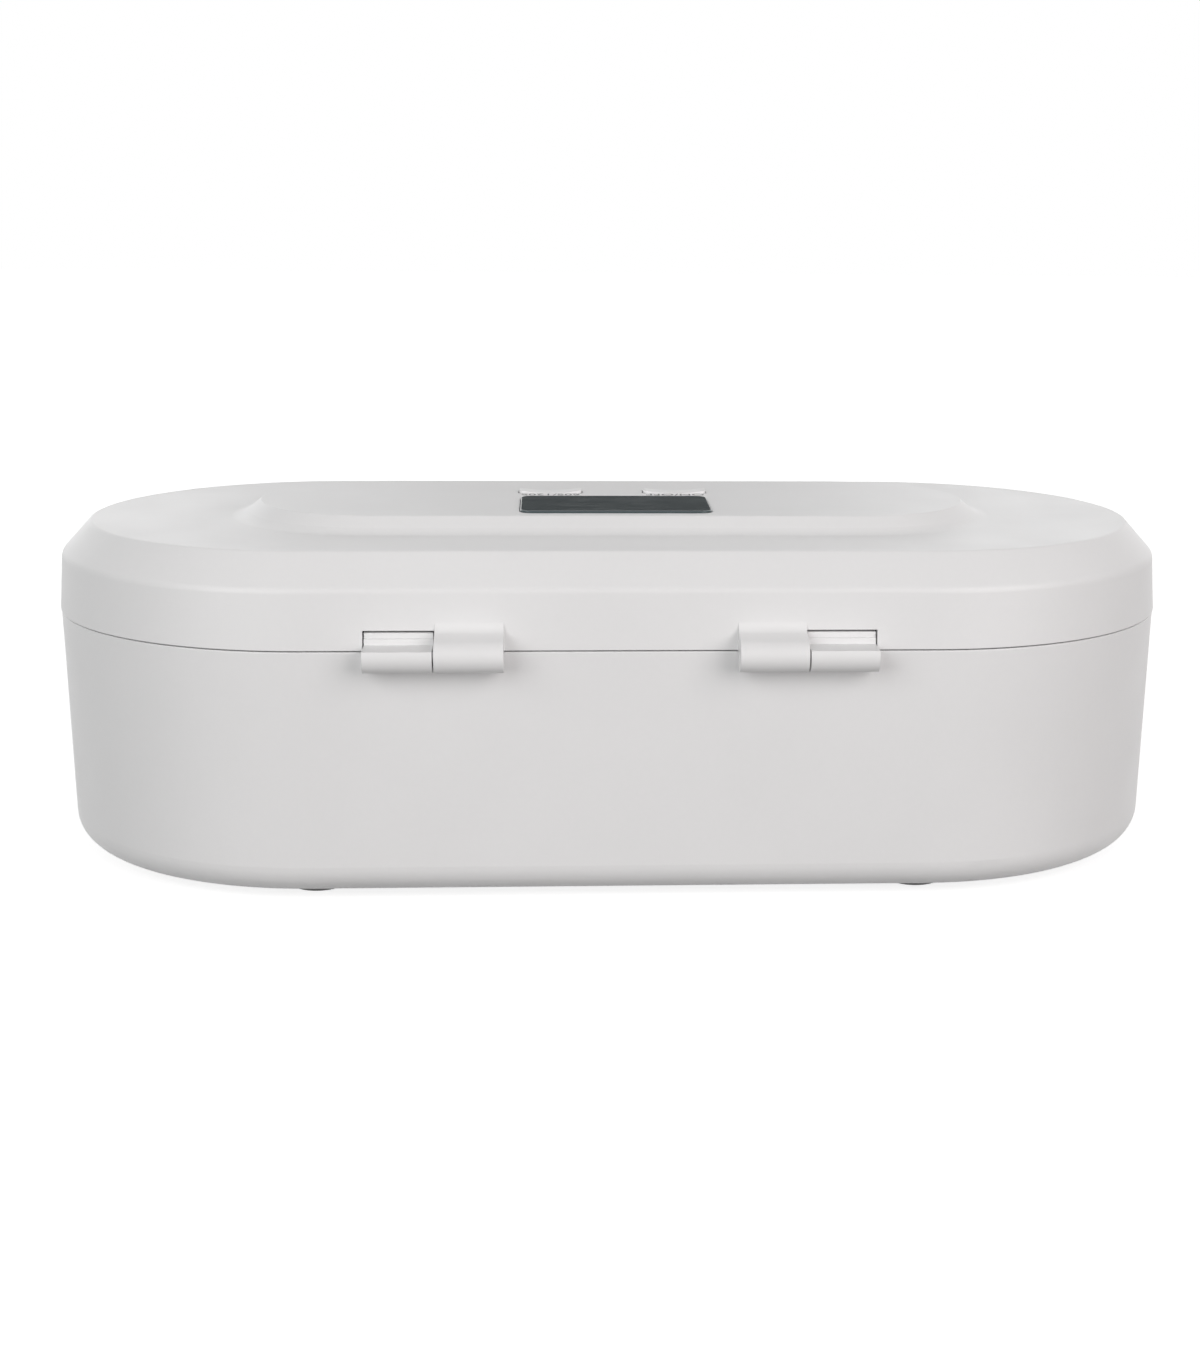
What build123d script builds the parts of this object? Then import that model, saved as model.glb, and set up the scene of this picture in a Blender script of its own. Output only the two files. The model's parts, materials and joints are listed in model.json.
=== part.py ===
from build123d import *
import os
from math import asin, atan2, cos, hypot, radians, sin, tan

# Nail tool sterilizer box: a racetrack-shaped tub with a hinged lid that holds an ultraviolet lamp.
# Millimetres, Z up, hinges towards +Y, user side towards -Y, feet standing on Z = 0.
# Pieces are drawn about the racetrack's own centre and shifted at the end, so that the origin
# is the middle of the whole footprint, hinges included.

# Overall form
length = 260.0
width = 122.8
foot_height = 2.1
base_height = 55.1
skirt_height = 13.1
chamfer_height = 7.3
plateau_height = 3.6
wall = 2.2

# Base shell
base_taper = 1.3
seam_step = 0.2
base_edge_radius = 6.8
base_inner_radius = 4.6
rim_round = 0.3
rim_depth = 4.0
lip_height = 3.4
lip_wall = 1.6
seam_gap = 0.3
lip_clearance = 0.5
scoop_length = 36.0
scoop_depth = 1.4
scoop_radius = 9.0

# Base liner
cavity_depth = 48.5
liner_wall = 1.2
liner_draft = 2.0
liner_flange = 1.0
liner_flange_width = 0.8
liner_floor_radius = 8.0
liner_clearance = 0.3
liner_boss_height = 4.0
liner_boss_radius = 3.5

# Feet and the screws above them
foot_x = 67.5
foot_y = 44.0
foot_radius = 6.7
foot_round = 1.0
foot_recess = 1.0
foot_clearance = 0.15
base_boss_radius = 5.0
head_recess_depth = 2.2
head_clearance = 0.4
hole_clearance = 0.4
base_screw_shank = 5.9
cut_over = 1.0

# Lid shell
skirt_draft = 0.92
top_inset = 7.6
shoulder_radius = 2.5
top_edge_radius = 1.0
plateau_length = 166.5
plateau_width = 56.5
plateau_slope = 4.6
plateau_blend = 6.0
plateau_edge_radius = 0.3

# Hinges
hinge_stand_off = 3.6
hinge_drop = 0.3
hinge_middle = 39.9
knuckle_radius = 3.5
knuckle_length = 14.7
knuckle_gap = 0.3
knuckle_top_height = 1.35
knuckle_edge_radius = 0.3
root_height = 2.7
root_set_back = 0.2
pad_set_back = 0.8
notch_height = 4.45
notch_gap = 0.5
ramp_height = 4.6
ramp_blend = 2.6
pin_radius = 1.0
pin_running_gap = 0.06
pin_press_gap = 0.02
pin_end_wall = 1.6
pin_recess = 0.6

# Inner panel of the lid
panel_lip_gap = 0.8
panel_wall = 1.5
panel_edge_gap = 0.2
panel_rim_height = 4.0
panel_rim_wall = 1.2
panel_boss_radius = 3.5
panel_pad_radius = 4.5
panel_pad_height = 1.5
panel_screw_inset = 25.0
panel_screw_end_y = 27.0
panel_screw_side_y = 46.0
panel_screw_shank = 7.0
pilot_depth = 8.5

# Ultraviolet lamp
lamp_end_gap = 41.0
lamp_slot_width = 10.0
cover_overlap = 3.0
cover_thickness = 1.5
cover_clearance = 0.3
frame_side_wall = 1.7
frame_end_wall = 8.7
frame_height = 3.0
frame_corner = 2.0
board_inset = 0.5
board_thickness = 1.6
led_pitch = 18.0
led_size = 3.5
led_height = 1.0
led_dome_radius = 1.3
led_dome_height = 0.25
led_dome_round = 0.2
lamp_screw_shank = 4.0

# Display and buttons
window_length = 44.0
window_depth = 24.0
window_y = 12.35
window_corner = 2.6
window_thickness = 2.0
window_raise = 0.5
window_edge_radius = 0.35
window_clearance = 0.15
window_hole_length = 36.0
window_hole_depth = 17.0
module_length = 30.1
module_depth = 14.0
module_height = 7.0
module_gap = 0.3
button_x = 15.0
button_y = -9.1
button_length = 15.0
button_depth = 5.0
button_corner = 1.2
button_raise = 0.7
button_dish = 0.62
button_clearance = 0.3
button_flange = 0.9
button_flange_width = 1.2
button_stem_radius = 1.5
button_travel = 0.5

# Control board
control_length = 84.0
control_depth = 44.0
control_y = 3.0
control_inset = 4.0
control_corner = 1.5
small_corner = 0.5
control_boss_radius = 3.0
control_screw_shank = 6.0
control_pilot_depth = 5.6
switch_size = 6.0
switch_body_height = 3.5
switch_height = 4.3
plunger_radius = 1.7
buzzer_radius = 4.5
buzzer_height = 5.4
buzzer_hole_radius = 1.0
buzzer_inset = 14.0
buzzer_y = 2.0
processor_inset = 16.0
processor_y = 14.0
processor_length = 9.9
processor_depth = 6.0
regulator_length = 6.5
regulator_depth = 3.5
driver_length = 5.0
driver_depth = 4.0
chip_height = 1.5
chip_gap = 4.0
coil_radius = 3.0
coil_height = 3.0

# Power socket and its board
socket_width = 8.94
socket_height = 3.2
socket_depth = 7.3
socket_corner = 1.2
socket_wall = 0.3
socket_reach = 0.9
socket_slot_clearance = 0.35
socket_back_wall = 1.5
tongue_width = 6.7
tongue_thickness = 0.7
tongue_set_back = 1.0
small_board_thickness = 1.0
socket_board_length = 17.0
socket_board_width = 14.0
socket_board_set_back = 4.0

# Lid sensor and its magnet
sensor_x = 30.0
sensor_board_length = 14.0
sensor_board_width = 8.0
sensor_board_gap = 0.5
sensor_length = 4.0
sensor_depth = 3.0
sensor_height = 1.5
magnet_length = 10.0
magnet_height = 5.0
magnet_thickness = 1.5
magnet_clearance = 0.15
magnet_pocket_wall = 1.0

# Screws and leads
large_head_radius = 2.7
large_head_height = 1.7
large_shank_radius = 1.25
small_head_radius = 1.9
small_head_height = 1.3
small_shank_radius = 0.95
pilot_gap = 0.05
cross_length = 2.4
cross_width = 0.7
cross_depth = 0.7
lead_radius = 0.9
lead_straight = 8.0
bend_share = 0.45
plug_length = 5.0
plug_width = 6.0
plug_height = 3.5
lead_side_y = 16.0
power_lead_run = 24.0
power_lead_rise = 18.0
lamp_plug_reach = 28.0
power_plug_y = 12.0
lamp_plug_y = 3.0
sensor_plug_inset = 17.0
sensor_offset = 3.5

# Heights and reaches that follow from the sizes above
half = width / 2
straight = length - width
base_under = foot_height
base_floor = base_under + wall
foot_top = base_under + foot_recess
base_head_seat = foot_top + head_recess_depth
seam = base_under + base_height
base_rim = seam - seam_gap / 2
skirt_rim = seam + seam_gap / 2
shoulder = seam + skirt_height
ring = shoulder + chamfer_height
plateau_top = ring + plateau_height
lip_top = seam + lip_height
lip_outer = half - wall - lip_clearance
lip_inner = lip_outer - lip_wall
liner_floor = lip_top - cavity_depth
liner_under = liner_floor - liner_wall
liner_boss_foot = liner_under - liner_boss_height
axis_y = half + hinge_stand_off
axis_z = seam - hinge_drop
base_knuckle_near = hinge_middle + knuckle_gap / 2
lid_knuckle_near = hinge_middle - knuckle_gap / 2 - knuckle_length
notch_near = hinge_middle - knuckle_gap / 2
notch_length = knuckle_length + 2 * knuckle_gap
pin_hole_end = base_knuckle_near + knuckle_length - pin_end_wall
panel_under = lip_top + panel_lip_gap
panel_top = panel_under + panel_wall
panel_pad_top = panel_top + panel_pad_height
panel_head_seat = panel_under + large_head_height + head_clearance
panel_reach = half - wall - skirt_draft - panel_edge_gap
panel_screw_end_x = length / 2 - panel_screw_inset
lamp_board_under = panel_top + frame_height
lamp_board_top = lamp_board_under + board_thickness
lamp_slot_length = length - 2 * lamp_end_gap
led_count = int((lamp_slot_length - led_size) // led_pitch) + 1
cover_length = lamp_slot_length + 2 * cover_overlap
cover_width = lamp_slot_width + 2 * cover_overlap
frame_length = cover_length + 2 * cover_clearance + 2 * frame_end_wall
frame_width = cover_width + 2 * cover_clearance + 2 * frame_side_wall
lamp_screw_x = frame_length / 2 - frame_end_wall / 2
ceiling = plateau_top - wall
window_under = plateau_top + window_raise - window_thickness
control_top = window_under - module_gap - module_height
control_under = control_top - board_thickness
control_screw_x = control_length / 2 - control_inset
control_screw_y = control_depth / 2 - control_inset
processor_x = -control_length / 2 + processor_inset
buzzer_x = control_length / 2 - buzzer_inset
flange_top = ceiling - button_clearance
flange_under = flange_top - button_flange
stem_tip = control_top + switch_height + button_travel + button_clearance
socket_mouth_x = -(length / 2 - skirt_draft - wall + socket_reach)
small_board_top = panel_top + small_board_thickness
socket_board_x = socket_mouth_x + socket_reach + socket_board_set_back + socket_board_length / 2
socket_z = small_board_top + socket_height / 2
sensor_y = -(panel_reach - panel_rim_wall - sensor_board_gap - sensor_board_width / 2)
control_plug_x = -control_length / 2 + plug_length / 2
lamp_plug_x = -control_length / 2 - lamp_plug_reach
sensor_plug_x = control_length / 2 - sensor_plug_inset
socket_plug_x = socket_board_x + socket_board_length / 2 - plug_width / 2
sensor_plug_y = control_y - control_depth / 2 + plug_length / 2
lead_low = small_board_top + plug_height / 2
lead_high = control_top + plug_height / 2
body_y = -(hinge_stand_off + knuckle_radius) / 2


def section(plane, *corners):
    """A face on a plane from its corners: across, up and, where the corner is round, its radius."""
    points = [corner[:2] for corner in corners]
    radii = [corner[2] if len(corner) > 2 else 0 for corner in corners]
    return plane * make_face(FilletPolyline(*points, radius=radii, close=True))


def racetrack(run, *corners):
    """A solid with a racetrack plan: a half section turned round both ends and drawn along both sides."""
    end_plane = Plane(origin=(run / 2, 0, 0), x_dir=(0, -1, 0), z_dir=(-1, 0, 0))
    half_section = section(end_plane, *corners)
    right_end = revolve(half_section, Axis((run / 2, 0, 0), (0, 0, 1)), 180)
    left_end = mirror(right_end, Plane.YZ)
    front_side = extrude(half_section, run)
    back_side = mirror(front_side, Plane.XZ)
    return right_end + left_end + front_side + back_side


def inner_corner(before, corner, after, depth):
    """Where an outline's corner lies on the skin that runs at a depth inside that outline."""
    first = (Vector(*corner) - Vector(*before)).normalized()
    second = (Vector(*after) - Vector(*corner)).normalized()
    inward = first.rotate(Axis.Z, 90) + second.rotate(Axis.Z, 90)
    point = Vector(*corner) + inward * (depth / (1 + first.dot(second)))
    return (point.X, point.Y)


def side_section(start, depth, *corners):
    """A section drawn in Y and Z at an X, drawn out along +X."""
    plane = Plane(origin=(start, 0, 0), x_dir=(0, 1, 0), z_dir=(1, 0, 0))
    return extrude(section(plane, *corners), depth)


def rod(radius, start, end):
    """A round bar from one point to another."""
    direction = Vector(*end) - Vector(*start)
    return extrude(Plane(origin=start, z_dir=direction) * Circle(radius), direction.length)


def post(radius, x, y, low, high):
    """An upright round bar between two heights."""
    return extrude(Pos(x, y, low) * Circle(radius), high - low)


def slab(size_x, size_y, low, high, corner=0.0, x=0.0, y=0.0):
    """A flat block between two heights, with its upright edges rounded."""
    outline = RectangleRounded(size_x, size_y, corner) if corner else Rectangle(size_x, size_y)
    return extrude(Pos(x, y, low) * outline, high - low)


def four_ways(shape):
    """The shape and its copies mirrored across both middle planes."""
    pair = [shape, mirror(shape, Plane.YZ)]
    return pair + [mirror(one, Plane.XZ) for one in pair]


def screw(x, y, seat, head_radius, head_height, shank_radius, shank_length, up=True):
    """A cross-head screw that bears at a height, with its shank pointing up or down."""
    head = post(head_radius, 0, 0, -head_height, 0)
    head = fillet(head.edges().filter_by(GeomType.CIRCLE).sort_by(Axis.Z)[0], head_height / 3)
    shank = post(shank_radius, 0, 0, 0, shank_length)
    cross_top = cross_depth - head_height
    cross = slab(cross_length, cross_width, -head_height, cross_top)
    cross += slab(cross_width, cross_length, -head_height, cross_top)
    turn = Rot(0, 0, 0) if up else Rot(180, 0, 0)
    return Pos(x, y, seat) * turn * (head + shank - cross)


def base_wall_at(height):
    """How far the base's outer face lies from the racetrack's middle line at a height."""
    return half - seam_step - (base_taper - seam_step) * (seam - height) / base_height


def skirt_at(height):
    """How far the lid skirt's outer face lies from the racetrack's middle line at a height."""
    return half - skirt_draft * (height - seam) / skirt_height


def hinge_starts(near, stretch):
    """The low X, on the right and on the left, of a stretch that begins at a distance from the middle."""
    return (near, -near - stretch)


def base_shell():
    """Tub with a lip that goes up inside the lid, foot recesses, screw bosses and the outer knuckles."""
    rim_foot = seam - rim_depth
    slope_foot = rim_foot - (base_wall_at(rim_foot) - wall - lip_inner)
    flange_seat = lip_top - liner_flange
    tub = racetrack(
        straight,
        (0, base_under),
        (half - base_taper, base_under, base_edge_radius),
        (half - seam_step, base_rim, rim_round),
        (lip_outer, base_rim),
        (lip_outer, lip_top, rim_round),
        (lip_outer - liner_flange_width, lip_top),
        (lip_outer - liner_flange_width, flange_seat),
        (lip_inner, flange_seat),
        (lip_inner, rim_foot),
        (base_wall_at(slope_foot) - wall, slope_foot),
        (half - base_taper - wall, base_floor, base_inner_radius),
        (0, base_floor),
    )
    tub += four_ways(post(base_boss_radius, foot_x, foot_y, base_floor - wall / 2, liner_boss_foot))
    tub -= four_ways(post(foot_radius + foot_clearance, foot_x, foot_y, 0, foot_top))
    tub -= four_ways(post(large_head_radius + head_clearance, foot_x, foot_y, 0, base_head_seat))
    tub -= four_ways(post(large_shank_radius + hole_clearance, foot_x, foot_y, 0, liner_under))
    tub -= finger_scoop()
    tub += magnet_pocket()
    for start in hinge_starts(base_knuckle_near, knuckle_length):
        tub += base_knuckle(start)
    for side in (1, -1):
        tub -= pin_hole(side, pin_press_gap, pin_hole_end)
    return tub


def base_knuckle(start):
    """Knuckle with a flat top and a round front, under a stepped pad that fills the notch in the skirt."""
    top = seam + knuckle_top_height
    step = seam + root_height
    pad_top = seam + notch_height - notch_gap
    root = lip_outer - lip_wall / 3
    under = axis_z - knuckle_radius
    inside = base_wall_at(under) - wall / 2
    web = side_section(
        start,
        knuckle_length,
        (root, pad_top),
        (half - pad_set_back, pad_top, knuckle_edge_radius),
        (half - pad_set_back, step),
        (half - root_set_back, step, knuckle_edge_radius),
        (half - root_set_back, top),
        (axis_y, top),
        (axis_y, under),
        (inside, under),
        (inside, base_rim - wall / 2),
        (root, base_rim - wall / 2),
    )
    barrel = rod(knuckle_radius, (start, axis_y, axis_z), (start + knuckle_length, axis_y, axis_z))
    return web + split(barrel, Plane.XY.offset(top), keep=Keep.BOTTOM)


def pin_hole(side, gap, reach):
    """The bore for a hinge pin, from inside the inner knuckle out to a distance from the middle."""
    return rod(pin_radius + gap, (side * (lid_knuckle_near - cut_over), axis_y, axis_z),
               (side * reach, axis_y, axis_z))


def finger_scoop():
    """Shallow hollow below the seam at the front, where a finger catches the lid's edge."""
    end_radius = scoop_radius - scoop_depth
    arc = ThreePointArc((-scoop_length / 2, end_radius), (0, scoop_radius), (scoop_length / 2, end_radius))
    sides = Polyline((scoop_length / 2, end_radius), (scoop_length / 2, 0), (-scoop_length / 2, 0),
                     (-scoop_length / 2, end_radius))
    barrel = revolve(make_face(Curve() + arc + sides), Axis.X, 360)
    middle = -(half - seam_step + scoop_radius - scoop_depth)
    below_rim = slab(length, width, base_floor, base_rim)
    return (Pos(0, middle, base_rim) * barrel) & (Pos(0, -half, 0) * below_rim)


def magnet_back():
    """Distance of the magnet's back face from the racetrack's middle line."""
    return base_wall_at(magnet_foot()) - wall


def magnet_foot():
    """Height of the magnet's lower edge, below the thick rim of the base."""
    rim_slope = base_wall_at(seam - rim_depth) - wall - lip_inner
    return seam - rim_depth - rim_slope - magnet_clearance - magnet_height


def magnet_pocket():
    """Three ribs inside the front wall that hold the magnet."""
    foot = magnet_foot()
    outer_length = magnet_length + 2 * (magnet_clearance + magnet_pocket_wall)
    ribs = Box(outer_length, wall / 2 + magnet_thickness, magnet_height + magnet_pocket_wall,
               align=(Align.CENTER, Align.MIN, Align.MIN))
    space = Box(magnet_length + 2 * magnet_clearance, wall + magnet_thickness, magnet_height + cut_over,
                align=(Align.CENTER, Align.MIN, Align.MIN))
    ribs = Pos(sensor_x, -(magnet_back() + wall / 2), foot - magnet_pocket_wall) * ribs
    return ribs - Pos(sensor_x, -magnet_back(), foot) * space


def sensor_magnet():
    """Bar magnet that the lid sensor reads."""
    bar = Box(magnet_length, magnet_thickness, magnet_height, align=(Align.CENTER, Align.MIN, Align.MIN))
    return Pos(sensor_x, -magnet_back(), magnet_foot()) * bar


def base_liner():
    """Mirror-finish inner tub that hangs in the lip by its flange and stands on four bosses."""
    outer = lip_inner - liner_clearance
    flange_outer = lip_outer - liner_flange_width - liner_clearance
    flange_seat = lip_top - liner_flange
    tub = racetrack(
        straight,
        (0, liner_under),
        (outer - liner_draft, liner_under, liner_floor_radius + liner_wall),
        (outer, flange_seat),
        (flange_outer, flange_seat),
        (flange_outer, lip_top),
        (outer - liner_wall, lip_top, liner_flange / 2),
        (outer - liner_draft - liner_wall, liner_floor, liner_floor_radius),
        (0, liner_floor),
    )
    pilot_top = base_head_seat + base_screw_shank + pilot_gap
    tub += four_ways(post(liner_boss_radius, foot_x, foot_y, liner_boss_foot, liner_under + liner_wall / 2))
    tub -= four_ways(post(large_shank_radius + pilot_gap, foot_x, foot_y, 0, pilot_top))
    return tub


def base_screws():
    """Four screws that hold the liner to the base, hidden above the feet."""
    return Compound(four_ways(screw(foot_x, foot_y, base_head_seat, large_head_radius, large_head_height,
                                    large_shank_radius, base_screw_shank)))


def foot(side_x, side_y):
    """Rubber foot glued into its recess."""
    pad = post(foot_radius, side_x * foot_x, side_y * foot_y, 0, foot_top)
    return fillet(pad.edges().filter_by(GeomType.CIRCLE).sort_by(Axis.Z)[0], foot_round)


def hinge_pin(side):
    """Steel pin, pressed into the base knuckle and running in the lid knuckle."""
    start = (side * (lid_knuckle_near + pin_recess), axis_y, axis_z)
    return rod(pin_radius, start, (side * (pin_hole_end - pin_recess), axis_y, axis_z))


def lid_shell():
    """Lid with skirt, chamfer, ring and plateau, one wall thick, with its bosses, openings and knuckles."""
    skirt_foot = (half, skirt_rim)
    shoulder_corner = (half - skirt_draft, shoulder)
    ring_corner = (half - top_inset, ring)
    shell = racetrack(
        straight,
        skirt_foot,
        shoulder_corner + (shoulder_radius,),
        ring_corner + (top_edge_radius,),
        (0, ring),
        (0, ring - wall),
        inner_corner(shoulder_corner, ring_corner, (0, ring), wall),
        inner_corner(skirt_foot, shoulder_corner, ring_corner, wall),
        (half - wall, skirt_rim),
    )
    plateau_run = plateau_length - plateau_width
    plateau_rim = (plateau_width / 2, plateau_top)
    plateau_foot = (plateau_width / 2 + plateau_slope, ring)
    blend_end = plateau_foot[0] + plateau_blend
    shell += racetrack(
        plateau_run,
        (0, ring - wall / 2),
        (blend_end, ring - wall / 2),
        (blend_end, ring),
        plateau_foot + (plateau_blend,),
        plateau_rim + (plateau_edge_radius,),
        (0, plateau_top),
    )
    pocket_foot = inner_corner((half, ring), plateau_foot, plateau_rim, wall)
    shell -= racetrack(
        plateau_run,
        (0, ring - 2 * wall),
        (pocket_foot[0], ring - 2 * wall),
        pocket_foot,
        inner_corner(plateau_foot, plateau_rim, (0, plateau_top), wall),
        (0, ceiling),
    )
    shell += lid_bosses()
    shell -= lid_pilots()
    shell -= panel_openings()
    shell -= socket_slot()
    for start in hinge_starts(notch_near, notch_length):
        shell -= skirt_notch(start)
    for start in hinge_starts(lid_knuckle_near, knuckle_length):
        shell += lid_knuckle(start)
    for side in (1, -1):
        shell -= pin_hole(side, pin_running_gap, hinge_middle)
    return shell


def panel_screw_places():
    """Where the inner panel is screwed up to the lid: near the ends, and in the middle of each side."""
    ends = [(x, y) for x in (panel_screw_end_x, -panel_screw_end_x)
            for y in (panel_screw_end_y, -panel_screw_end_y)]
    return ends + [(0, panel_screw_side_y), (0, -panel_screw_side_y)]


def control_screw_places():
    """Where the control board is screwed up to the lid."""
    return [(x, control_y + y) for x in (control_screw_x, -control_screw_x)
            for y in (control_screw_y, -control_screw_y)]


def lid_bosses():
    """Posts that hang from the lid's top: six for the inner panel, four for the control board."""
    panel_posts = [post(panel_boss_radius, x, y, panel_pad_top, ring - wall / 2)
                   for x, y in panel_screw_places()]
    board_posts = [post(control_boss_radius, x, y, control_top, plateau_top - wall / 2)
                   for x, y in control_screw_places()]
    return panel_posts + board_posts


def lid_pilots():
    """Screw holes up into the lid's posts."""
    panel_pilots = [post(large_shank_radius + pilot_gap, x, y, panel_top, panel_pad_top + pilot_depth)
                    for x, y in panel_screw_places()]
    board_pilots = [post(small_shank_radius + pilot_gap, x, y, control_top, control_top + control_pilot_depth)
                    for x, y in control_screw_places()]
    return panel_pilots + board_pilots


def panel_openings():
    """The display window's seat and hole, and the two button holes."""
    above = plateau_top + cut_over
    below = ceiling - cut_over
    seat = slab(window_length + 2 * window_clearance, window_depth + 2 * window_clearance,
                window_under, above, window_corner + window_clearance, 0, window_y)
    hole = slab(window_hole_length, window_hole_depth, below, plateau_top, window_corner, 0, window_y)
    button_holes = [slab(button_length + 2 * button_clearance, button_depth + 2 * button_clearance,
                         below, above, button_corner + button_clearance, x, button_y)
                    for x in (button_x, -button_x)]
    return [seat, hole] + button_holes


def socket_slot():
    """The slot at the left end of the skirt that the power plug goes through."""
    outline = RectangleRounded(socket_width + 2 * socket_slot_clearance,
                               socket_height + 2 * socket_slot_clearance,
                               socket_corner + socket_slot_clearance)
    plane = Plane(origin=(-length / 2 - cut_over, 0, socket_z), x_dir=(0, 1, 0), z_dir=(1, 0, 0))
    return extrude(plane * outline, 2 * wall + cut_over)


def skirt_notch(start):
    """Cut-out in the skirt that the base knuckle stands in."""
    return side_section(start, notch_length, (lip_outer, base_rim), (half + wall, base_rim),
                        (half + wall, seam + notch_height), (lip_outer, seam + notch_height))


def lid_knuckle(start):
    """Knuckle that leaves the skirt as a ramp and runs into its barrel."""
    ramp_top = seam + ramp_height
    ramp_foot = (skirt_at(ramp_top), ramp_top)
    to_axis = hypot(axis_y - ramp_foot[0], axis_z - ramp_foot[1])
    slope = atan2(axis_z - ramp_foot[1], axis_y - ramp_foot[0]) + asin(knuckle_radius / to_axis)
    touch = (axis_y - knuckle_radius * sin(slope), axis_z + knuckle_radius * cos(slope))
    above = shoulder - shoulder_radius
    root = half - wall / 2
    web = side_section(
        start,
        knuckle_length,
        (root, skirt_rim),
        (axis_y - knuckle_radius, skirt_rim),
        (axis_y, axis_z),
        touch,
        ramp_foot + (ramp_blend,),
        (skirt_at(above), above),
        (root - skirt_draft, above),
    )
    barrel = rod(knuckle_radius, (start, axis_y, axis_z), (start + knuckle_length, axis_y, axis_z))
    return web + barrel


def lid_inner_panel():
    """Mirror-finish cover under the lid, with a stiffening rim, screw pads and the lamp's frame."""
    below = panel_under - cut_over
    panel = racetrack(
        straight,
        (0, panel_under),
        (panel_reach, panel_under, rim_round),
        (panel_reach, panel_under + panel_rim_height),
        (panel_reach - panel_rim_wall, panel_under + panel_rim_height),
        (panel_reach - panel_rim_wall, panel_top),
        (0, panel_top),
    )
    frame = slab(frame_length, frame_width, panel_top - panel_wall / 2, lamp_board_under, frame_corner)
    frame -= slab(cover_length + 2 * cover_clearance, cover_width + 2 * cover_clearance, panel_top,
                  lamp_board_under)
    panel += [post(panel_pad_radius, x, y, panel_under, panel_pad_top) for x, y in panel_screw_places()]
    panel += frame
    for x, y in panel_screw_places():
        panel -= post(large_head_radius + head_clearance, x, y, below, panel_head_seat)
        panel -= post(large_shank_radius + hole_clearance, x, y, below, panel_pad_top + cut_over)
    panel -= extrude(Pos(0, 0, below) * SlotOverall(lamp_slot_length, lamp_slot_width), panel_top - below)
    pilot_foot = panel_top - panel_wall / 2
    for x in (lamp_screw_x, -lamp_screw_x):
        panel -= post(small_shank_radius + pilot_gap, x, 0, pilot_foot, lamp_board_under + cut_over)
    rim_reach = half - panel_reach + panel_rim_wall + cut_over
    panel -= slab(2 * rim_reach, socket_width + 2 * socket_slot_clearance, panel_top,
                  panel_top + panel_rim_height, 0, -length / 2, 0)
    return panel


def panel_screws():
    """Six screws that hold the inner panel up to the lid."""
    return Compound([screw(x, y, panel_head_seat, large_head_radius, large_head_height, large_shank_radius,
                           panel_screw_shank) for x, y in panel_screw_places()])


def lamp_cover():
    """Clear strip under the lamp, lying on the panel inside its frame."""
    return slab(cover_length, cover_width, panel_top, panel_top + cover_thickness)


def lamp_board():
    """Long board that carries the ultraviolet LEDs, lying on the frame."""
    board = slab(frame_length - 2 * board_inset, frame_width, lamp_board_under, lamp_board_top, frame_corner)
    for x in (lamp_screw_x, -lamp_screw_x):
        board -= post(small_shank_radius + hole_clearance / 2, x, 0, lamp_board_under, lamp_board_top)
    return board


def lamp_leds():
    """The row of LED chips under the board, each with its dome."""
    first = -led_pitch * (led_count - 1) / 2
    led_under = lamp_board_under - led_height
    chip = slab(led_size, led_size, led_under, lamp_board_under)
    dome = post(led_dome_radius, 0, 0, led_under - led_dome_height, lamp_board_under - led_height / 2)
    dome = fillet(dome.edges().filter_by(GeomType.CIRCLE).sort_by(Axis.Z)[0], led_dome_round)
    return Compound([Pos(first + led_pitch * number, 0, 0) * (chip + dome) for number in range(led_count)])


def lamp_screws():
    """Two screws that hold the lamp board down to the frame."""
    return Compound([screw(x, 0, lamp_board_top, small_head_radius, small_head_height, small_shank_radius,
                           lamp_screw_shank, up=False) for x in (lamp_screw_x, -lamp_screw_x)])


def control_board():
    """Control board, screwed up under the plateau."""
    board = slab(control_length, control_depth, control_under, control_top, control_corner, 0, control_y)
    for x, y in control_screw_places():
        board -= post(small_shank_radius + hole_clearance / 2, x, y, control_under, control_top)
    return board


def control_screws():
    """Four screws that hold the control board up to the lid."""
    return Compound([screw(x, y, control_under, small_head_radius, small_head_height, small_shank_radius,
                           control_screw_shank) for x, y in control_screw_places()])


def tact_switch(x):
    """Small push switch under a button."""
    body_top = control_top + switch_body_height
    body = slab(switch_size, switch_size, control_top, body_top, small_corner, x, button_y)
    plunger_foot = body_top - switch_body_height / 2
    return body + post(plunger_radius, x, button_y, plunger_foot, control_top + switch_height)


def button(x):
    """Push button with a dished top, kept in by its flange and pressing on its switch by a short stem."""
    top = plateau_top + button_raise
    cap = slab(button_length, button_depth, flange_top - button_flange / 2, top, button_corner, x, button_y)
    flange = slab(button_length + 2 * button_flange_width, button_depth + 2 * button_flange_width,
                  flange_under, flange_top, button_corner + button_flange_width, x, button_y)
    stem = post(button_stem_radius, x, button_y, stem_tip, flange_under + button_flange / 2)
    dish_radius = (button_length ** 2 / 4 + button_dish ** 2) / (2 * button_dish)
    centre = top - button_dish + dish_radius
    dish = rod(dish_radius, (x, button_y - button_depth, centre), (x, button_y + button_depth, centre))
    return cap + flange + stem - dish


def display_window():
    """Smoked lens that stands slightly proud of the plateau."""
    window_top = plateau_top + window_raise
    lens = slab(window_length, window_depth, window_under, window_top, window_corner, 0, window_y)
    return fillet(lens.faces().sort_by(Axis.Z)[-1].edges(), window_edge_radius)


def display_module():
    """Numeric display block that stands on the control board under the window."""
    module_top = control_top + module_height
    return slab(module_length, module_depth, control_top, module_top, small_corner, 0, window_y)


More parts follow.
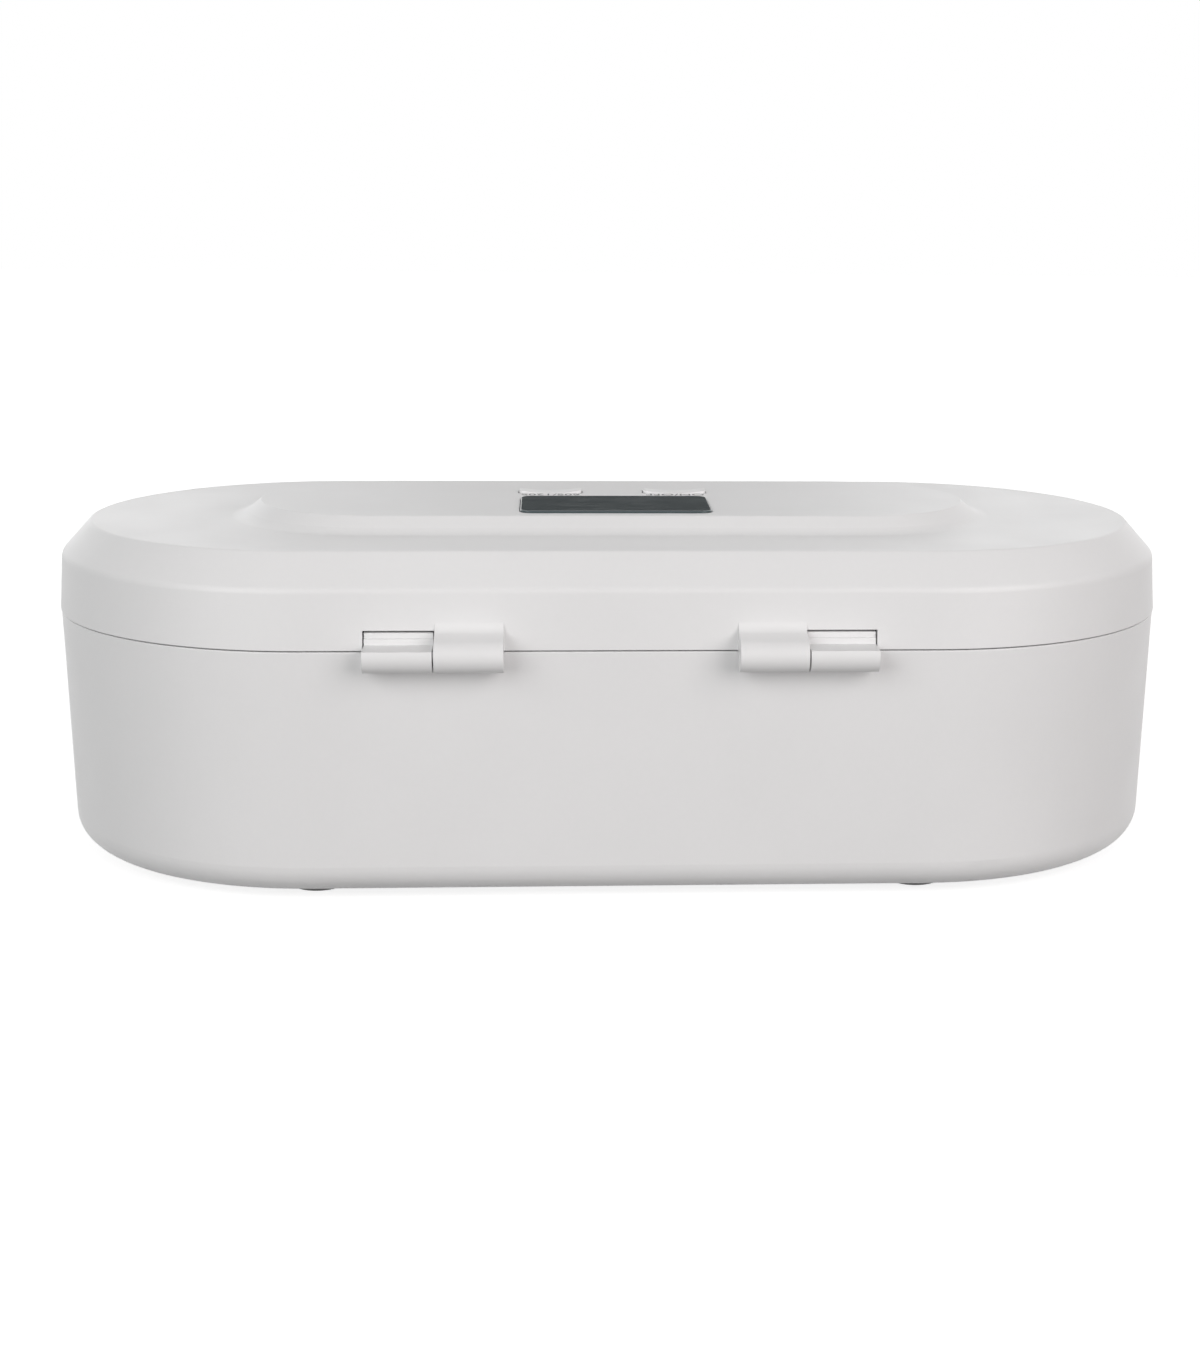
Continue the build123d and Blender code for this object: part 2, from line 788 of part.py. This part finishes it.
def buzzer():
    """Round buzzer with its sound hole."""
    can_top = control_top + buzzer_height
    can = post(buzzer_radius, buzzer_x, buzzer_y, control_top, can_top)
    return can - post(buzzer_hole_radius, buzzer_x, buzzer_y, can_top - buzzer_height / 2, can_top)


def board_chips():
    """Processor, voltage regulator, lamp driver and the driver's coil on the control board."""
    regulator_y = processor_y - processor_depth / 2 - chip_gap - regulator_depth / 2
    driver_y = regulator_y - regulator_depth / 2 - chip_gap - driver_depth / 2
    coil_x = processor_x + driver_length / 2 + chip_gap + coil_radius
    chip_top = control_top + chip_height
    return Compound([
        slab(processor_length, processor_depth, control_top, chip_top, 0, processor_x, processor_y),
        slab(regulator_length, regulator_depth, control_top, chip_top, 0, processor_x, regulator_y),
        slab(driver_length, driver_depth, control_top, chip_top, 0, processor_x, driver_y),
        post(coil_radius, coil_x, driver_y, control_top, control_top + coil_height),
    ])


def power_socket():
    """Metal shell of the power socket with its contact tongue."""
    plane = Plane(origin=(socket_mouth_x, 0, socket_z), x_dir=(0, 1, 0), z_dir=(1, 0, 0))
    shell = extrude(plane * RectangleRounded(socket_width, socket_height, socket_corner), socket_depth)
    shell -= extrude(plane * RectangleRounded(socket_width - 2 * socket_wall, socket_height - 2 * socket_wall,
                                              socket_corner - socket_wall), socket_depth - socket_back_wall)
    tongue = extrude(plane * Pos(0, 0, tongue_set_back) * Rectangle(tongue_width, tongue_thickness),
                     socket_depth - tongue_set_back - socket_back_wall / 2)
    return shell + tongue


def socket_board():
    """Small board that carries the power socket, lying on the inner panel."""
    return slab(socket_board_length, socket_board_width, panel_top, small_board_top, small_corner,
                socket_board_x, 0)


def sensor_board():
    """Small board that carries the lid sensor, lying on the inner panel near the front."""
    return slab(sensor_board_length, sensor_board_width, panel_top, small_board_top, small_corner,
                sensor_x, sensor_y)


def lid_sensor():
    """Magnetic sensor that stops the lamp when the lid opens."""
    return slab(sensor_length, sensor_depth, small_board_top, small_board_top + sensor_height, 0,
                sensor_x - sensor_offset, sensor_y)


def plug(x, y, board_face, along_y=False):
    """Lead plug that stands on a board."""
    size = (plug_width, plug_length) if along_y else (plug_length, plug_width)
    return slab(size[0], size[1], board_face, board_face + plug_height, 0, x, y)


def lead(*route):
    """Round lead along straight runs joined by arcs, from plug to plug."""
    runs = [(Vector(*after) - Vector(*before)) for before, after in zip(route, route[1:])]
    radii = []
    for before, after in zip(runs, runs[1:]):
        half_turn = radians(before.get_angle(after)) / 2
        radii.append(bend_share * min(before.length, after.length) / tan(half_turn))
    path = FilletPolyline(*route, radius=radii)
    return sweep(Plane(origin=route[0], z_dir=runs[0]) * Circle(lead_radius), path=path)


def lead_plugs():
    """The plugs at both ends of the three leads."""
    return Compound([
        plug(control_plug_x, power_plug_y, control_top),
        plug(socket_plug_x, 0, small_board_top, along_y=True),
        plug(control_plug_x, lamp_plug_y, control_top),
        plug(lamp_plug_x, 0, lamp_board_top),
        plug(sensor_plug_x, sensor_plug_y, control_top, along_y=True),
        plug(sensor_x + sensor_offset, sensor_y, small_board_top, along_y=True),
    ])


def power_lead():
    """Lead from the power socket round the lamp to the control board."""
    end_x = -control_length / 2
    return lead(
        (socket_plug_x, plug_length / 2, lead_low),
        (socket_plug_x, lead_side_y, lead_low),
        (socket_plug_x + power_lead_run, lead_side_y, lead_low),
        (end_x - power_lead_rise, power_plug_y, lead_high),
        (end_x, power_plug_y, lead_high),
    )


def lamp_lead():
    """Lead from the control board down to the lamp board."""
    lamp_high = lamp_board_top + plug_height / 2
    start_x = -control_length / 2
    end_x = lamp_plug_x + plug_length / 2
    return lead(
        (start_x, lamp_plug_y, lead_high),
        (start_x - lead_straight, lamp_plug_y, lead_high),
        (end_x + lead_straight, 0, lamp_high),
        (end_x, 0, lamp_high),
    )


def sensor_lead():
    """Lead from the control board forward to the lid sensor."""
    start_y = control_y - control_depth / 2
    end_x = sensor_x + sensor_offset
    end_y = sensor_y + plug_length / 2
    return lead(
        (sensor_plug_x, start_y, lead_high),
        (sensor_plug_x, start_y - lead_straight, lead_high),
        (end_x, end_y + lead_straight, lead_low),
        (end_x, end_y, lead_low),
    )


pieces = {
    "base_shell": base_shell(),
    "base_liner": base_liner(),
    "base_screws": base_screws(),
    "foot_front_left": foot(-1, -1),
    "foot_front_right": foot(1, -1),
    "foot_rear_left": foot(-1, 1),
    "foot_rear_right": foot(1, 1),
    "hinge_pin_left": hinge_pin(-1),
    "hinge_pin_right": hinge_pin(1),
    "sensor_magnet": sensor_magnet(),
    "lid_shell": lid_shell(),
    "lid_inner_panel": lid_inner_panel(),
    "panel_screws": panel_screws(),
    "lamp_cover": lamp_cover(),
    "lamp_board": lamp_board(),
    "lamp_leds": lamp_leds(),
    "lamp_screws": lamp_screws(),
    "control_board": control_board(),
    "control_screws": control_screws(),
    "power_switch": tact_switch(-button_x),
    "timer_switch": tact_switch(button_x),
    "power_button": button(-button_x),
    "timer_button": button(button_x),
    "display_window": display_window(),
    "display_module": display_module(),
    "buzzer": buzzer(),
    "board_chips": board_chips(),
    "power_socket": power_socket(),
    "socket_board": socket_board(),
    "sensor_board": sensor_board(),
    "lid_sensor": lid_sensor(),
    "lead_plugs": lead_plugs(),
    "power_lead": power_lead(),
    "lamp_lead": lamp_lead(),
    "sensor_lead": sensor_lead(),
}

os.makedirs("parts", exist_ok=True)
for name, piece in pieces.items():
    export_step(Pos(0, body_y, 0) * piece, f"parts/{name}.step")
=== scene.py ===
import json
from math import radians

import bmesh
import bpy
from mathutils import Matrix, Quaternion, Vector


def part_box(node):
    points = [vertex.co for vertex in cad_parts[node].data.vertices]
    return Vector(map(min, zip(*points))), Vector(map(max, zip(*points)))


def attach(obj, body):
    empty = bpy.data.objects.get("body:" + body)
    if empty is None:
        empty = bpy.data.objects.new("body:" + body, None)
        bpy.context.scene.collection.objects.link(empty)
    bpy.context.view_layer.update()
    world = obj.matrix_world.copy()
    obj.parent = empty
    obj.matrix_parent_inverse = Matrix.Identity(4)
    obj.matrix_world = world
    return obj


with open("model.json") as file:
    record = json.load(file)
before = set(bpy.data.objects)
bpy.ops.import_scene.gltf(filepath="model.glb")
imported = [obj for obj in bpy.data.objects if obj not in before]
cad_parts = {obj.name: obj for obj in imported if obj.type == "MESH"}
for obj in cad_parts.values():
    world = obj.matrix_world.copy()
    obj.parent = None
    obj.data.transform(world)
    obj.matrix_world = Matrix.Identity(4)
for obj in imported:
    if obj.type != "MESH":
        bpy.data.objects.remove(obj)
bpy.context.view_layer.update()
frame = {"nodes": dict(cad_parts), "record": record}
nodes = frame["nodes"]

# Legends, in metres
mm = 0.001
legend_height = 2.8 * mm
legend_width = 14.0 * mm
legend_thickness = 0.04 * mm
legend_sink = 0.02 * mm
legend_y = -8.3 * mm
font_over_capital = 1.38
letter_curve_steps = 4

# Camera, from the perspective of the photographed box, in metres, degrees and millimetres of lens and film
camera_place = Vector((0.01517, 0.50567, 0.15646))
camera_bearing = 3.397
camera_dip = 13.414
camera_roll = 0.554
camera_lens = 56.30
camera_film = 36.0
camera_shift = -0.0543
camera_near = 0.01
camera_far = 50.0

# Soft boxes, in metres, degrees and watts, with their side counted from the hinge side towards -X
neutral = (1.0, 1.0, 1.0)
warm = (1.0, 0.958, 0.953)
soft_boxes = (
    {"side": 38.0, "rise": 22.0, "size": 1.0, "power": 10.2, "colour": warm},
    {"side": -38.0, "rise": 22.0, "size": 1.0, "power": 8.9, "colour": neutral},
    {"side": 150.0, "rise": 12.0, "size": 0.9, "power": 1.7, "colour": neutral},
    {"side": -150.0, "rise": 12.0, "size": 0.9, "power": 1.9, "colour": neutral},
    {"side": 180.0, "rise": 45.0, "size": 1.0, "power": 2.0, "colour": neutral},
)
light_distance = 1.4
light_target = Vector((0, 0, 0.04))

# Floor, backdrop and flag, in metres, with tones from black at 0 to white at 1
floor_size = 6.0
floor_bounce = 0.30
floor_shade = 0.50
glow_near = 0.3
glow_far = 1.1
glow_near_strength = 0.80
white_strength = 1.0
fill_strength = 0.22
flag_distance = 2.5
flag_x = -0.075
flag_width = 0.54
flag_low = 0.31
flag_high = 0.61
flag_tone = 0.12

# Rubbed edges, by the cosine between the bevelled and the plain surface
bevel_samples = 6
rubbed_from = 0.99
rubbed_full = 0.86


def make_camera():
    """Camera behind the box, a little above it, as the box was photographed."""
    data = bpy.data.cameras.new("camera")
    data.lens = camera_lens
    data.sensor_width = camera_film
    data.shift_x = camera_shift
    data.clip_start = camera_near
    data.clip_end = camera_far
    camera = bpy.data.objects.new("camera", data)
    bpy.context.scene.collection.objects.link(camera)
    bearing = Matrix.Rotation(radians(-camera_bearing), 4, "Z")
    dip = Matrix.Rotation(radians(camera_dip), 4, "X")
    aim = (bearing @ dip @ Vector((0, -1, 0))).to_track_quat("-Z", "Y")
    camera.rotation_mode = "QUATERNION"
    camera.rotation_quaternion = aim @ Quaternion((0, 0, 1), radians(camera_roll))
    camera.location = camera_place
    bpy.context.scene.camera = camera


# Node helpers


class Finish:
    """A material under construction, with short calls for the nodes that the finishes share."""

    def __init__(self, name, colour, roughness, **sockets):
        self.made = bpy.data.materials.new(name)
        self.made.use_nodes = True
        self.tree = self.made.node_tree
        self.shader = self.tree.nodes["Principled BSDF"]
        self.shader.inputs["Base Color"].default_value = (*colour, 1)
        self.shader.inputs["Roughness"].default_value = roughness
        for socket, value in sockets.items():
            self.shader.inputs[socket.replace("_", " ")].default_value = value
        self.place = self.node("ShaderNodeTexCoord").outputs["Object"]

    def node(self, kind, **values):
        """A node of a kind, with its inputs set by name or linked."""
        made = self.tree.nodes.new(kind)
        for name, value in values.items():
            self.set(made.inputs[name.replace("_", " ")], value)
        return made

    def set(self, socket, value):
        """Links a socket to another node's output, or gives it a value."""
        if isinstance(value, bpy.types.NodeSocket):
            self.tree.links.new(value, socket)
        else:
            socket.default_value = value

    def noise(self, scale, detail=3.0, roughness=0.5, stretch=(1, 1, 1)):
        """Soft noise with features of about one over scale metres."""
        mapping = self.node("ShaderNodeMapping", Vector=self.place, Scale=stretch)
        made = self.node("ShaderNodeTexNoise", Vector=mapping.outputs["Vector"], Scale=scale, Detail=detail,
                         Roughness=roughness)
        return made.outputs["Fac"]

    def between(self, factor, low=0.0, high=1.0, start=0.3, end=0.7):
        """A value from low to high while a factor goes from start to end."""
        made = self.node("ShaderNodeMapRange", Value=factor, From_Min=start, From_Max=end, To_Min=low,
                         To_Max=high)
        return made.outputs["Result"]

    def blend(self, factor, first, second):
        """A colour between two others."""
        made = self.tree.nodes.new("ShaderNodeMix")
        made.data_type = "RGBA"
        colours = [socket for socket in made.inputs if socket.type == "RGBA"]
        self.set(made.inputs["Factor"], factor)
        for socket, colour in zip(colours, (first, second)):
            self.set(socket, colour if isinstance(colour, bpy.types.NodeSocket) else (*colour, 1))
        return next(socket for socket in made.outputs if socket.type == "RGBA")

    def sum(self, first, second, share=1.0):
        """One value plus a share of another."""
        made = self.tree.nodes.new("ShaderNodeMath")
        made.operation = "MULTIPLY_ADD"
        for socket, value in zip(made.inputs, (second, share, first)):
            self.set(socket, value)
        return made.outputs["Value"]

    def bevel(self, radius):
        """The surface's direction with its edges rounded by a radius."""
        made = self.node("ShaderNodeBevel", Radius=radius)
        made.samples = bevel_samples
        return made.outputs["Normal"]

    def edges(self, radius):
        """A mask that is one along sharp edges and nought on open faces."""
        turn = self.tree.nodes.new("ShaderNodeVectorMath")
        turn.operation = "DOT_PRODUCT"
        self.set(turn.inputs[0], self.bevel(radius))
        self.set(turn.inputs[1], self.node("ShaderNodeNewGeometry").outputs["Normal"])
        return self.between(turn.outputs["Value"], low=1.0, high=0.0, start=rubbed_full, end=rubbed_from)

    def colour(self, value):
        """Drives the base colour."""
        self.set(self.shader.inputs["Base Color"], value)

    def rough(self, value):
        """Drives the roughness."""
        self.set(self.shader.inputs["Roughness"], value)

    def bump(self, height, distance, soften=0.0):
        """Fine relief, over edges softened by a radius."""
        made = self.node("ShaderNodeBump", Height=height, Distance=distance, Strength=1.0)
        if soften:
            self.set(made.inputs["Normal"], self.bevel(soften))
        self.set(self.shader.inputs["Normal"], made.outputs["Normal"])


def toned(colour, share, lift=0.0):
    """A colour darkened or lightened by a share, and lifted by a little white."""
    return tuple(min(1.0, channel * share + lift) for channel in colour)


# Finishes


def white_moulding(name, tone, roughness, grain):
    """Satin white plastic: faint cloudiness, fine spark-eroded grain, edges rubbed slightly glossier."""
    finish = Finish(name, tone, roughness, IOR=1.49)
    cloud = finish.noise(22.0, detail=4.0, roughness=0.55)
    speck = finish.noise(900.0, detail=2.0)
    mottled = finish.between(finish.sum(cloud, speck, share=0.25), start=0.4, end=0.85)
    rubbed = finish.edges(0.7 * mm)
    base = finish.blend(mottled, toned(tone, 0.965), tone)
    finish.colour(finish.blend(finish.sum(0.0, rubbed, share=0.6), base, toned(tone, 1.02)))
    handled = finish.noise(60.0, detail=5.0, roughness=0.6)
    spread = finish.between(handled, low=roughness - 0.04, high=roughness + 0.05)
    finish.rough(finish.sum(spread, rubbed, share=-0.08))
    finish.bump(finish.noise(2600.0, roughness=0.6), grain, soften=0.25 * mm)
    return finish.made


def mirror_lining():
    """Metallised plastic: bright mirror with wiped smears, fine scratches and a slight waviness."""
    finish = Finish("mirror lining", (0.80, 0.81, 0.82), 0.08, Metallic=1.0)
    smear = finish.noise(38.0, detail=5.0, roughness=0.6, stretch=(1.0, 2.5, 1.0))
    scratch = finish.noise(420.0, detail=4.0, roughness=0.7, stretch=(0.12, 3.0, 1.0))
    finish.colour(finish.blend(finish.between(smear), (0.76, 0.77, 0.785), (0.84, 0.845, 0.85)))
    worn = finish.sum(smear, scratch, share=0.5)
    finish.rough(finish.between(worn, low=0.13, high=0.2, start=0.55, end=1.0))
    wavy = finish.noise(30.0, detail=1.0)
    finish.bump(finish.sum(wavy, scratch, share=0.012), 0.05 * mm, soften=0.3 * mm)
    return finish.made


def smoked_window():
    """Smoked polished plastic with a few wiped smears, its tint partly painted reflection: lifted to a bluish
    grey over the real smoke.
    """
    # Painted reflection: the smoke tint is lifted to stand in for part of the reflected grey
    finish = Finish("smoked window", (0.051, 0.072, 0.078), 0.09, IOR=1.46)
    smear = finish.noise(140.0, detail=4.0, roughness=0.6, stretch=(1.0, 3.0, 1.0))
    finish.colour(finish.blend(finish.between(smear), (0.048, 0.068, 0.074), (0.054, 0.076, 0.082)))
    finish.rough(finish.between(smear, low=0.06, high=0.12))
    finish.bump(finish.noise(900.0, detail=2.0), 0.001 * mm, soften=0.15 * mm)
    return finish.made


def clear_plastic():
    """Clear polished plastic with faint flow lines."""
    finish = Finish("clear plastic", (0.96, 0.975, 0.985), 0.03, IOR=1.49, Transmission_Weight=1.0)
    haze = finish.noise(90.0, stretch=(0.3, 2.0, 1.0))
    finish.colour(finish.blend(haze, (0.94, 0.96, 0.975), (0.98, 0.99, 0.995)))
    finish.rough(finish.between(haze, low=0.02, high=0.08))
    return finish.made


def metal(name, tone, roughness, stretch):
    """Plated or ground steel with fine lines along one direction."""
    finish = Finish(name, tone, roughness, Metallic=1.0)
    lines = finish.noise(1400.0, detail=4.0, roughness=0.6, stretch=stretch)
    stain = finish.noise(260.0)
    finish.colour(finish.blend(finish.between(stain), toned(tone, 0.82), tone))
    finish.rough(finish.between(lines, low=roughness - 0.08, high=roughness + 0.12))
    finish.bump(lines, 0.004 * mm, soften=0.1 * mm)
    return finish.made


def soft_rubber(name, tone, grain):
    """Matt rubber or soft sheath with a fine grain and picked-up dust."""
    finish = Finish(name, tone, 0.7, IOR=1.5, Sheen_Weight=0.2)
    dust = finish.noise(180.0, detail=4.0, roughness=0.6)
    finish.colour(finish.blend(finish.between(dust), toned(tone, 0.86, lift=0.03), tone))
    finish.rough(finish.between(dust, low=0.62, high=0.82))
    finish.bump(finish.noise(1800.0, roughness=0.6), grain, soften=0.2 * mm)
    return finish.made


def moulded_plastic(name, tone, roughness):
    """Small technical moulding with a fine grain and lighter rubbed edges."""
    finish = Finish(name, tone, roughness, IOR=1.5)
    cloud = finish.noise(300.0, detail=4.0, roughness=0.6)
    rubbed = finish.edges(0.3 * mm)
    base = finish.blend(finish.between(cloud), toned(tone, 0.88), tone)
    finish.colour(finish.blend(finish.sum(0.0, rubbed, share=0.5), base, toned(tone, 1.25, lift=0.01)))
    finish.rough(finish.between(cloud, low=roughness - 0.05, high=roughness + 0.08))
    finish.bump(finish.noise(2400.0), 0.004 * mm, soften=0.1 * mm)
    return finish.made


def solder_mask(name, mask, track):
    """Circuit board lacquer with the tracks showing faintly through it."""
    finish = Finish(name, mask, 0.35, IOR=1.5)
    bricks = finish.node("ShaderNodeTexBrick", Vector=finish.place, Scale=260.0, Mortar_Size=0.03)
    lines = finish.between(bricks.outputs["Fac"], start=0.0, end=1.0)
    cloud = finish.between(finish.noise(350.0), high=0.35)
    finish.colour(finish.blend(finish.sum(cloud, lines, share=0.5), mask, track))
    finish.rough(finish.between(finish.noise(700.0, detail=2.0), low=0.28, high=0.45))
    finish.bump(lines, 0.02 * mm, soften=0.1 * mm)
    return finish.made


def led_finish():
    """White ceramic chip with a clear yellowish dome below it."""
    finish = Finish("led", (0.8, 0.78, 0.7), 0.3, IOR=1.5)
    low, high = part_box("lamp_leds")
    height = finish.node("ShaderNodeSeparateXYZ", Vector=finish.place).outputs["Z"]
    dome_share = 0.2
    chip_under = low.z + (high.z - low.z) * dome_share
    blur = 0.02 * mm
    dome = finish.between(height, low=1.0, high=0.0, start=chip_under - blur, end=chip_under + blur)
    spot = finish.between(finish.noise(1500.0, detail=2.0), high=0.3)
    ceramic = finish.blend(spot, (0.82, 0.80, 0.74), (0.72, 0.70, 0.63))
    finish.colour(finish.blend(dome, ceramic, (0.74, 0.66, 0.28)))
    finish.rough(finish.between(dome, low=0.45, high=0.12, start=0.0, end=1.0))
    finish.bump(finish.noise(3000.0, detail=2.0), 0.002 * mm, soften=0.1 * mm)
    return finish.made


def legend_ink():
    """Dark grey pad-printed ink, a little uneven."""
    finish = Finish("legend ink", (0.075, 0.077, 0.08), 0.5, IOR=1.45)
    cover = finish.noise(4200.0, roughness=0.6)
    finish.colour(finish.blend(finish.between(cover), (0.06, 0.062, 0.065), (0.13, 0.133, 0.137)))
    finish.rough(finish.between(cover, low=0.4, high=0.6))
    finish.bump(cover, 0.002 * mm)
    return finish.made


def dress_nodes():
    """Gives each CAD node the finish of its material slot."""
    black = moulded_plastic("black moulding", (0.022, 0.022, 0.024), 0.45)
    finishes = {
        "white_shell": white_moulding("white shell", (0.80, 0.80, 0.80), 0.40, 0.004 * mm),
        # The button tone is lighter than the shell partly as painted light, standing in for light falling on
        # the dish
        "white_button": white_moulding("white button", (0.88, 0.88, 0.88), 0.46, 0.003 * mm),
        "mirror_lining": mirror_lining(),
        "smoked_window": smoked_window(),
        "clear_plastic": clear_plastic(),
        # The foot rubber's dark grey is partly painted shade, standing in for the shade between the box and
        # the floor
        "foot_rubber": soft_rubber("foot rubber", (0.27, 0.27, 0.27), 0.01 * mm),
        "screw_steel": metal("screw steel", (0.60, 0.60, 0.62), 0.34, (1.0, 1.0, 0.2)),
        "pin_steel": metal("pin steel", (0.62, 0.62, 0.64), 0.26, (0.15, 2.0, 2.0)),
        "socket_steel": metal("socket steel", (0.68, 0.68, 0.70), 0.28, (0.2, 1.5, 1.5)),
        "magnet": metal("magnet nickel", (0.58, 0.57, 0.55), 0.3, (0.4, 1.0, 1.0)),
        "lamp_board": solder_mask("lamp board", (0.78, 0.78, 0.75), (0.66, 0.66, 0.62)),
        "led": led_finish(),
        "circuit_board": solder_mask("circuit board", (0.018, 0.14, 0.055), (0.05, 0.24, 0.10)),
        "switch_body": black,
        "display_block": moulded_plastic("display block", (0.06, 0.06, 0.062), 0.4),
        "black_moulding": black,
        "plug_nylon": moulded_plastic("plug nylon", (0.72, 0.69, 0.60), 0.45),
        "lead_sheath": soft_rubber("lead sheath", (0.55, 0.55, 0.55), 0.003 * mm),
    }
    slots = {part["node"]: part["material_slot"] for part in frame["record"]["subparts"]}
    for name, node in nodes.items():
        for slot in node.material_slots:
            slot.material = finishes[slots[name]]


# Legends


def legend(name, words, centre_x, plateau, ink):
    """Small printed words on the plateau, read from the user's side, as a thin raised mesh."""
    text = bpy.data.curves.new(name, "FONT")
    text.body = words
    text.size = legend_height * font_over_capital
    text.extrude = legend_thickness / 2
    text.align_x = "CENTER"
    text.align_y = "CENTER"
    text.resolution_u = letter_curve_steps
    drawn = bpy.data.objects.new(name, text)
    bpy.context.scene.collection.objects.link(drawn)
    mesh = bpy.data.meshes.new_from_object(drawn)
    bpy.data.objects.remove(drawn)
    left = min(vertex.co.x for vertex in mesh.vertices)
    right = max(vertex.co.x for vertex in mesh.vertices)
    middle = Matrix.Translation((-(left + right) / 2, 0, 0))
    widen = Matrix.Diagonal((legend_width / (right - left), 1.0, 1.0, 1.0))
    lift = legend_thickness / 2 - legend_sink
    mesh.transform(Matrix.Translation((centre_x, legend_y, plateau + lift)) @ widen @ middle)
    mesh.materials.append(ink)
    piece = bpy.data.objects.new(name, mesh)
    bpy.context.scene.collection.objects.link(piece)
    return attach(piece, "lid")


def make_legends():
    """One legend behind each button, between it and the window."""
    ink = legend_ink()
    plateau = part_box("lid_shell")[1].z
    for button, words in (("power_button", "ON/OFF"), ("timer_button", "60S/120S")):
        low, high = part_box(button)
        legend(f"legend_{button}", words, (low.x + high.x) / 2, plateau, ink)


# Studio


def grey(tone):
    """A neutral colour, with its alpha."""
    return (tone, tone, tone, 1)


def seen_rays(tree):
    """One for rays from the camera, from gloss and through clear plastic, and nought for diffuse light."""
    path = tree.nodes.new("ShaderNodeLightPath")
    seen = path.outputs["Is Camera Ray"]
    for kind in ("Is Glossy Ray", "Is Transmission Ray"):
        either = tree.nodes.new("ShaderNodeMath")
        either.operation = "MAXIMUM"
        tree.links.new(seen, either.inputs[0])
        tree.links.new(path.outputs[kind], either.inputs[1])
        seen = either.outputs["Value"]
    return seen


def split_by_ray(tree, lighting, shown, surface):
    """Lights the box with one shader and shows another where the surface is seen."""
    mix = tree.nodes.new("ShaderNodeMixShader")
    tree.links.new(seen_rays(tree), mix.inputs["Fac"])
    tree.links.new(lighting, mix.inputs[1])
    tree.links.new(shown, mix.inputs[2])
    tree.links.new(mix.outputs["Shader"], surface.inputs["Surface"])


def card(name, placed):
    """Square of 1 m at the origin, then placed by a matrix."""
    made = bpy.data.meshes.new(name)
    shape = bmesh.new()
    bmesh.ops.create_grid(shape, x_segments=1, y_segments=1, size=0.5)
    shape.transform(placed)
    shape.to_mesh(made)
    shape.free()
    piece = bpy.data.objects.new(name, made)
    bpy.context.scene.collection.objects.link(piece)
    return piece


def floor_paint():
    """Matt paint with a glow that grows to full white away from the box."""
    paint = bpy.data.materials.new("floor paint")
    paint.use_nodes = True
    tree = paint.node_tree
    tree.nodes.clear()
    bounce = tree.nodes.new("ShaderNodeBsdfDiffuse")
    bounce.inputs["Color"].default_value = grey(floor_bounce)
    pale = tree.nodes.new("ShaderNodeBsdfDiffuse")
    pale.inputs["Color"].default_value = grey(floor_shade)
    place = tree.nodes.new("ShaderNodeTexCoord")
    away = tree.nodes.new("ShaderNodeVectorMath")
    away.operation = "LENGTH"
    tree.links.new(place.outputs["Object"], away.inputs[0])
    whiten = tree.nodes.new("ShaderNodeMapRange")
    whiten.inputs["From Min"].default_value = glow_near
    whiten.inputs["From Max"].default_value = glow_far
    whiten.inputs["To Min"].default_value = glow_near_strength
    whiten.inputs["To Max"].default_value = white_strength
    tree.links.new(away.outputs["Value"], whiten.inputs["Value"])
    glow = tree.nodes.new("ShaderNodeEmission")
    tree.links.new(whiten.outputs["Result"], glow.inputs["Strength"])
    both = tree.nodes.new("ShaderNodeAddShader")
    tree.links.new(pale.outputs["BSDF"], both.inputs[0])
    tree.links.new(glow.outputs["Emission"], both.inputs[1])
    surface = tree.nodes.new("ShaderNodeOutputMaterial")
    split_by_ray(tree, bounce.outputs["BSDF"], both.outputs["Shader"], surface)
    return paint


def make_floor():
    """Pale floor that shows white to the camera and keeps a soft shadow."""
    floor = card("floor", Matrix.Diagonal((floor_size, floor_size, 1, 1)))
    floor.data.materials.append(floor_paint())


def make_flag():
    """Dark card far behind the box that the window reflects."""
    upright = Matrix.Rotation(radians(90), 4, "X") @ Matrix.Diagonal((flag_width, flag_high - flag_low, 1, 1))
    flag = card("flag", Matrix.Translation((flag_x, -flag_distance, (flag_low + flag_high) / 2)) @ upright)
    cloth = bpy.data.materials.new("flag cloth")
    cloth.use_nodes = True
    cloth.node_tree.nodes["Principled BSDF"].inputs["Base Color"].default_value = grey(flag_tone)
    flag.data.materials.append(cloth)
    flag.visible_camera = False


def make_world():
    """White where it is seen, and an even grey fill where it lights the box."""
    world = bpy.data.worlds.new("studio")
    world.use_nodes = True
    tree = world.node_tree
    tree.nodes.clear()
    fill = tree.nodes.new("ShaderNodeBackground")
    fill.inputs["Strength"].default_value = fill_strength
    white = tree.nodes.new("ShaderNodeBackground")
    white.inputs["Strength"].default_value = white_strength
    for background in (fill, white):
        background.inputs["Color"].default_value = grey(1)
    surface = tree.nodes.new("ShaderNodeOutputWorld")
    split_by_ray(tree, fill.outputs["Background"], white.outputs["Background"], surface)
    bpy.context.scene.world = world


def make_lights():
    """The soft boxes, each facing the middle of the box from its side and rise."""
    for number, box in enumerate(soft_boxes):
        data = bpy.data.lights.new(f"soft_{number}", "AREA")
        data.energy = box["power"]
        data.size = box["size"]
        data.color = box["colour"]
        light = bpy.data.objects.new(f"soft_{number}", data)
        bpy.context.scene.collection.objects.link(light)
        turn = Matrix.Rotation(radians(box["side"]), 4, "Z") @ Matrix.Rotation(radians(box["rise"]), 4, "X")
        direction = turn @ Vector((0, 1, 0))
        light.location = light_target + direction * light_distance
        light.rotation_euler = (-direction).to_track_quat("-Z", "Y").to_euler()


make_camera()
dress_nodes()
make_legends()
make_floor()
make_flag()
make_world()
make_lights()

bpy.context.scene.view_settings.view_transform = "Standard"
